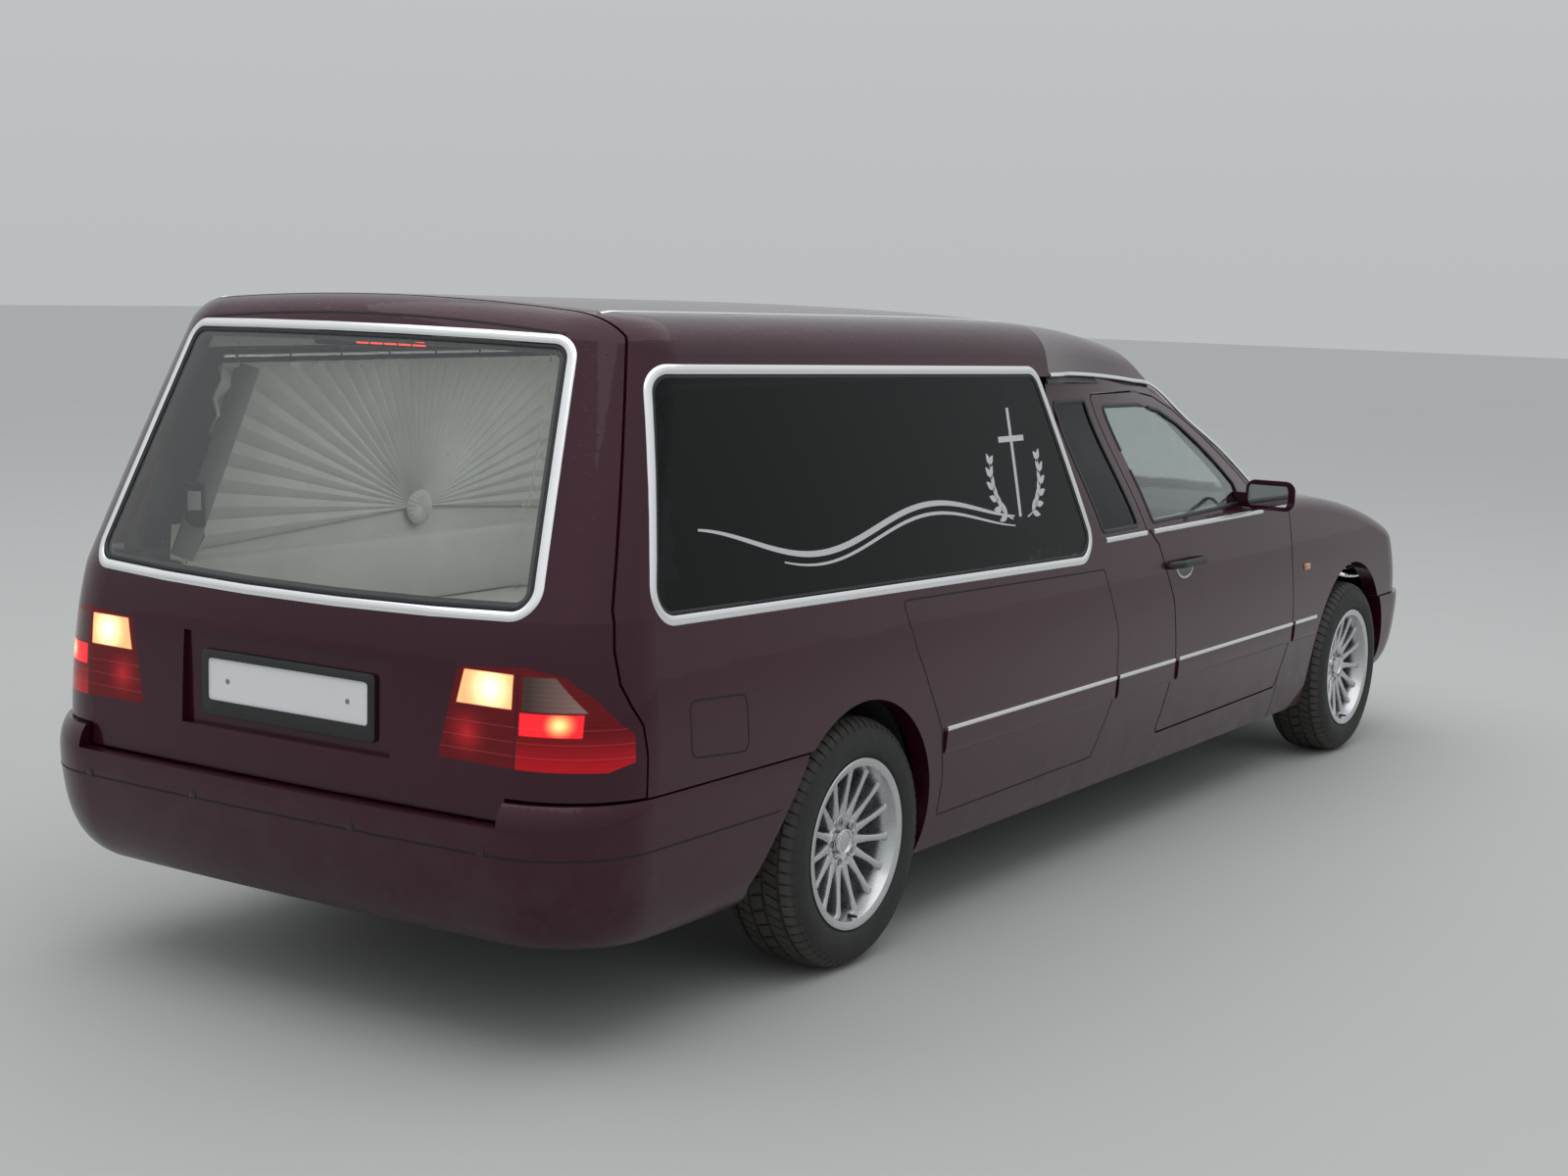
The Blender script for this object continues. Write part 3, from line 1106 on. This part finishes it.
def intake(label, y, z, wide, tall):
    """An intake of the front bumper as a dark panel with a mesh and a painted rim."""
    bumper = tree_of("front_bumper")

    def face(u, v, proud=0.0016):
        at, normal = on_nose(bumper, [(y + wide * (2 * u - 1), z + tall * (2 * v - 1))])[0]
        return at + normal * proud

    skin(f"intake_panel_{label}", "seam_black", [[face(u, v, 0.0004) for u in spread(0, 1, 30)]
                                                 for v in spread(0, 1, 6)], 0)
    lattice(f"intake_mesh_{label}", "black_plastic", face, round(wide * 120), 6, 0.004)
    corners = [(y - wide, z - tall), (y + wide, z - tall), (y + wide, z + tall), (y - wide, z + tall)]
    line = on_nose(bumper, rounded(corners, 0.012))
    ribbon(f"intake_rim_{label}", "aubergine_paint", line, arched(0.010, 0.0035), True)


def screen_header():
    """A strip between the windscreen's upper edge and the roof's front edge."""
    screen, roof = tree_of("windscreen"), tree_of("roof")

    def first_hit(tree, y, heights, otherwise):
        """The first of the heights at which a ray from ahead meets the tree."""
        return next((z for z in heights if ray(tree, (3, y, z), (-1, 0, 0))), otherwise)

    rows = []
    for y in spread(-0.575, 0.575, 40):
        top_z = first_hit(screen, y, [1.420 - 0.003 * s for s in range(60)], 1.385)
        brow_z = first_hit(roof, y, [1.380 + 0.003 * s for s in range(80)], None)
        if brow_z is None:
            continue
        low = cast(screen, (3, y, top_z - 0.012), (-1, 0, 0))[0]
        high = cast(roof, (3, y, brow_z + 0.004), (-1, 0, 0))[0]
        rows.append([low.lerp(high, t) - Vector((0.004 * math.sin(math.pi * t) + 0.009 * t - 0.003, 0, 0))
                     for t in spread(0, 1, 4)])
    skin("screen_header", "gloss_black", rows)


def wipers():
    screen = tree_of("windscreen")

    def screen_foot(y):
        """The windscreen's lowest place at a width, a little up from its edge."""
        for step in range(120):
            if ray(screen, (1.470 - 0.004 * step, y, 2.4), (0, 0, -1)):
                return 1.470 - 0.004 * step - 0.030
        raise ValueError(f"no windscreen at {y}")

    for name, first_y, last_y, foot_y in (("driver", 0.540, 0.020, -0.120),
                                          ("passenger", -0.060, -0.540, -0.560)):
        line = on_top(screen, [(screen_foot(y), y) for y in spread(first_y, last_y, 24)])
        ribbon(f"wiper_blade_{name}", "black_plastic", line, twin([(-0.003, 0.0005), (-0.005, 0.012)]))
        at, normal = line[len(line) // 2]
        foot = Vector((screen_foot(foot_y) + 0.040, foot_y, 1.008))
        arm = smooth_line([foot, foot.lerp(at, 0.4) + Vector((0, 0, 0.016)), at + normal * 0.017], 6)
        tube(f"wiper_arm_{name}", "black_plastic", arm, 0.006, 12, 0.6)


# Inside of the cab
def pad_mesh(name, y, rows, sense):
    """A closed pad through rows of x, z, width, thickness and bolster height. It is wide along Y, and its
    bolsters stand on the side that the sense, 1 or -1, gives."""
    spots = [Vector((x, y, z)) for x, z, *_ in rows]
    sides = 40
    verts = []
    for i, (_, _, wide, thick, bolster) in enumerate(rows):
        out = Vector((0, 1, 0)).cross(heading(spots, i)).normalized() * sense
        for angle in spread(0, 2 * math.pi, sides)[:-1]:
            c, s = math.cos(angle), math.sin(angle)
            across = wide / 2 * math.copysign(abs(c) ** 0.45, c)
            depth = thick / 2 * math.copysign(abs(s) ** 0.5, s)
            if s > 0:
                share = min(1, max(0, (abs(across) / (wide / 2) - 0.52) / 0.26))
                depth += bolster * share * share * (3 - 2 * share)
            verts.append(spots[i] + Vector((0, across, 0)) + out * depth)
    return mesh_of(name, verts, quads(len(rows), sides, False, True) + end_faces(len(rows), sides), 3.0)


def baked(made):
    """The piece's mesh with its modifiers applied."""
    graph = bpy.context.evaluated_depsgraph_get()
    mesh = bpy.data.meshes.new_from_object(made.evaluated_get(graph))
    made.modifiers.clear()
    return mesh


def puff_up(pads):
    """Blows the pads up by a cloth simulation, each point by no more than the pad's cap."""
    for made, _ in pads:
        cloth = made.modifiers.new("Cloth", "CLOTH")
        cloth.settings.use_pressure = True
        cloth.settings.uniform_pressure_force = 4
        cloth.settings.effector_weights.gravity = 0
        cloth.settings.quality = 5
        cloth.point_cache.frame_end = 20
    before = [[v.co.copy() for v in made.data.vertices] for made, _ in pads]
    for number in range(1, 21):
        scene.frame_set(number)
    for (made, cap), starts in zip(pads, before):
        mesh = baked(made)
        for vert, start in zip(mesh.vertices, starts):
            moved = vert.co - start
            if moved.length > cap:
                vert.co = start + moved.normalized() * cap
        made.data = mesh
    scene.frame_set(1)


# Pads of a front seat: rows of x, z, width, thickness and bolster height, the side that the bolsters
# stand on, and how far the puffing may move a point
seat_pads = {
    "cushion": ([(0.505, 0.448, 0.36, 0.06, 0.004), (0.53, 0.450, 0.44, 0.105, 0.014),
                 (0.65, 0.452, 0.472, 0.115, 0.026), (0.78, 0.458, 0.476, 0.120, 0.028),
                 (0.89, 0.462, 0.472, 0.115, 0.020), (0.945, 0.455, 0.45, 0.090, 0.008),
                 (0.962, 0.448, 0.38, 0.05, 0.0)], -1, 0.012),
    "back": ([(0.506, 0.520, 0.40, 0.06, 0.004), (0.492, 0.560, 0.455, 0.105, 0.022),
              (0.452, 0.700, 0.476, 0.120, 0.034), (0.410, 0.850, 0.470, 0.118, 0.032),
              (0.368, 1.000, 0.430, 0.105, 0.018), (0.348, 1.062, 0.37, 0.085, 0.006),
              (0.342, 1.082, 0.30, 0.05, 0.0)], 1, 0.012),
    "head_restraint": ([(0.322, 1.118, 0.20, 0.045, 0.0), (0.319, 1.134, 0.245, 0.075, 0.004),
                        (0.311, 1.180, 0.260, 0.085, 0.008), (0.304, 1.224, 0.245, 0.072, 0.004),
                        (0.302, 1.240, 0.19, 0.040, 0.0)], 1, 0.007),
}


def seats():
    """Front seats: cushions, backs and head restraints, puffed up by a cloth simulation."""
    pads = []
    for hand, side in hands:
        for label, (rows, sense, cap) in seat_pads.items():
            mesh = pad_mesh(label, side * seat_half, rows, sense)
            made = bpy.data.objects.new(f"front_seat_{label}_{hand}", mesh)
            scene.collection.objects.link(made)
            remesh = made.modifiers.new("remesh", "REMESH")
            remesh.mode = "VOXEL"
            remesh.voxel_size = 0.009
            made.data = baked(made)
            pads.append((made, cap))
    puff_up(pads)
    for made, _ in pads:
        made.modifiers.new("subdivision", "SUBSURF").levels = 1
        mesh = baked(made)
        mesh.materials.clear()
        mesh.materials.append(looks["seat_cloth"])
        mesh.shade_smooth()
        made.data = mesh
        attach(made, "hearse_body")
        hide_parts("front_seats")
    for hand, side in hands:
        seat_fittings(hand, side * seat_half)


def seat_fittings(hand, y):
    """Piping, base, rails and head restraint posts of a front seat."""
    for wanted in ("cushion", "back"):
        mesh = bpy.data.objects[f"front_seat_{wanted}_{hand}"].data
        tree = BVHTree.FromPolygons([v.co for v in mesh.vertices], [p.vertices[:] for p in mesh.polygons])
        for label, across in (("inner", -0.150), ("outer", 0.150)):
            line = []
            for t in spread(0, 1, 24):
                if wanted == "cushion":
                    line.append(cast(tree, (0.545 + 0.375 * t, y + across, 0.9), (0, 0, -1)))
                else:
                    start = (0.9, y + across * (1 - 0.12 * t), 0.600 + 0.430 * t)
                    line.append(cast(tree, start, (-1, 0, 0)))
            ribbon(f"{wanted}_piping_{label}_{hand}", "seat_piping", line, arched(0.006, 0.002, -0.001))
    block(f"seat_base_{hand}", "black_plastic", (0.40, 0.42, 0.10), (0.72, y, 0.352), 0.02)
    for part, sense in (("inner", -1), ("outer", 1)):
        tube(f"seat_rail_{part}_{hand}", "disc_steel",
             [(x, y + sense * 0.17, 0.292) for x in (0.50, 0.60, 0.84, 0.96)], 0.010)
    post = ((0.345, 1.060), (0.338, 1.085), (0.330, 1.110), (0.324, 1.140))
    for part, sense in (("inner", -1), ("outer", 1)):
        line = [(x, y + sense * 0.055, z) for x, z in post]
        tube(f"head_restraint_post_{part}_{hand}", "chrome", line, 0.006)


def door_card(hand, side):
    """The door's inner lining with its arm rest."""
    door = tree_of(f"door_{hand}", f"door_glass_{hand}")
    rows = []
    for z in spread(0.400, 0.960, 29):
        row = []
        for x in spread(0.300, 1.230, 33):
            at = ray(door, (x, side * 0.3, z), (0, side, 0))
            rest = min(1, max(0, (x - 0.36) / 0.05)) * min(1, max(0, (0.92 - x) / 0.08))
            rest *= math.exp(-((z - 0.72) / 0.028) ** 2)
            row.append(Vector((x, side * ((abs(at.y) if at else 0.83) - 0.005 - 0.034 * rest), z)))
        rows.append(row)
    skin(f"door_card_{hand}", "grey_trim", rows, body=f"door_{hand}")


def air_vent(number, y, wide):
    lattice(f"air_vent_{number}", "black_plastic",
            lambda u, v: Vector((1.058, y - wide / 2 + wide * u, 0.883 + 0.044 * v)), 3, 6, 0.004)


def cab():
    """Door cards, headliner, instruments, console and the mirror inside the cab."""
    for hand, side in hands:
        door_card(hand, side)
    tree = tree_of("roof", "cab_frame")
    rows = [[cast(tree, (x, y, 1.2), (0, 0, 1))[0] - Vector((0, 0, 0.008))
             for y in spread(-0.570, 0.570, 22)] for x in spread(-0.540, 0.540, 27)]
    skin("cab_headliner", "pale_lining", rows)
    block("instrument_hood", "black_plastic", (0.150, 0.370, 0.085), (1.128, 0.370, 0.972), 0.032, 6)
    block("instrument_face", "gloss_black", (0.010, 0.310, 0.058), (1.055, 0.370, 0.968), 0.010, 4)
    block("console_panel", "gloss_black", (0.020, 0.190, 0.170), (1.062, 0, 0.770), 0.006)
    for number, (y, wide) in enumerate(((0.060, 0.10), (-0.060, 0.10), (0.600, 0.11), (-0.600, 0.11))):
        air_vent(number, y, wide)
    block("centre_console", "black_plastic", (0.640, 0.180, 0.150), (0.760, 0, 0.560), 0.025, 5)
    lever = smooth_line([(0.86, 0, 0.62), (0.85, 0, 0.68), (0.835, 0, 0.73)], 5)
    tube("gear_lever", "black_plastic", lever, 0.010)
    block("gear_knob", "black_plastic", (0.048, 0.042, 0.055), (0.832, 0, 0.745), 0.018, 6)
    block("inner_mirror", "black_plastic", (0.026, 0.235, 0.064), (0.742, 0, 1.262), 0.011, 5)
    block("inner_mirror_glass", "mirror_face", (0.002, 0.222, 0.052), (0.7285, 0, 1.262), 0.0008)
    stem = smooth_line([(0.755, 0, 1.285), (0.772, 0, 1.302), (0.782, 0, 1.318)], 5)
    tube("inner_mirror_stem", "black_plastic", stem, 0.007)


for hand, side in hands:
    side_linings(hand, side)
    fan_drape(hand, side)
load_space()
tail_fittings()
tail_seams()
for hand, side in hands:
    door_handle(hand, side)
    block(f"wing_indicator_{hand}", "amber_lens", (0.052, 0.012, 0.024),
          facing(*on_flank(tree_of("front_wings"), [(1.444, 0.752)], side)[0]), 0.005)
    mirror_glass(hand, side)
    cab_window_trim(hand, side)
for hand, side in hands:
    lamp_inside("outer", hand, side, 0.610, 0.664, 0.128, 0.084)
    lamp_inside("inner", hand, side, 0.362, 0.672, 0.088, 0.080)
intake("middle", 0, 0.385, 0.310, 0.042)
intake("left", 0.520, 0.375, 0.095, 0.037)
intake("right", -0.520, 0.375, 0.095, 0.037)
lattice("grille_mesh", "black_plastic",
        lambda u, v: Vector((2.664, -0.232 + 0.464 * u, 0.606 + 0.142 * v)), 44, 14, 0.003)
screen_header()
wipers()
seats()
cab()


# Stage
def make_stage():
    reach = 60
    mesh = bpy.data.meshes.new("floor")
    mesh.from_pydata([(-reach, -reach, 0), (reach, -reach, 0), (reach, reach, 0), (-reach, reach, 0)], [],
                     [(0, 1, 2, 3)])
    floor = bpy.data.objects.new("floor", mesh)
    scene.collection.objects.link(floor)
    mesh.materials.append(looks["pale_floor"])


def area_light(name, at, size, power):
    """A flat lamp that looks straight down."""
    lamp = bpy.data.lights.new(name, "AREA")
    lamp.shape = "RECTANGLE"
    lamp.size, lamp.size_y = size
    lamp.energy = power
    made = bpy.data.objects.new(name, lamp)
    scene.collection.objects.link(made)
    made.location = at
    made.rotation_euler = Vector((0, 0, -1)).to_track_quat("-Z", "Y").to_euler()


def make_world():
    """An overcast sky: dim at the horizon and bright overhead."""
    world = bpy.data.worlds.new("world")
    scene.world = world
    world.use_nodes = True
    tree = world.node_tree
    height = tree.nodes.new("ShaderNodeSeparateXYZ")
    tree.links.new(tree.nodes.new("ShaderNodeTexCoord").outputs["Generated"], height.inputs[0])
    sky = tree.nodes.new("ShaderNodeValToRGB")
    tree.links.new(height.outputs[2], sky.inputs[0])
    stops = [(0.0, (0.50, 0.515, 0.52)), (0.10, (0.52, 0.54, 0.55)), (0.45, (0.66, 0.69, 0.71)),
             (1.0, (0.90, 0.93, 0.95))]
    for spot, _ in stops[1:-1]:
        sky.color_ramp.elements.new(spot)
    for element, (spot, color) in zip(sky.color_ramp.elements, stops):
        element.position = spot
        element.color = (*color, 1)
    tree.links.new(sky.outputs[0], tree.nodes["Background"].inputs["Color"])
    tree.nodes["Background"].inputs["Strength"].default_value = 1.0


make_stage()
make_world()
area_light("sky_light", (-0.5, 0, 9.0), (16, 14), 420)
area_light("load_space_light", (-1.5, 0, 1.52), (1.3, 0.8), 8)
area_light("cab_light", (0.4, 0, 1.42), (0.5, 0.6), 4)
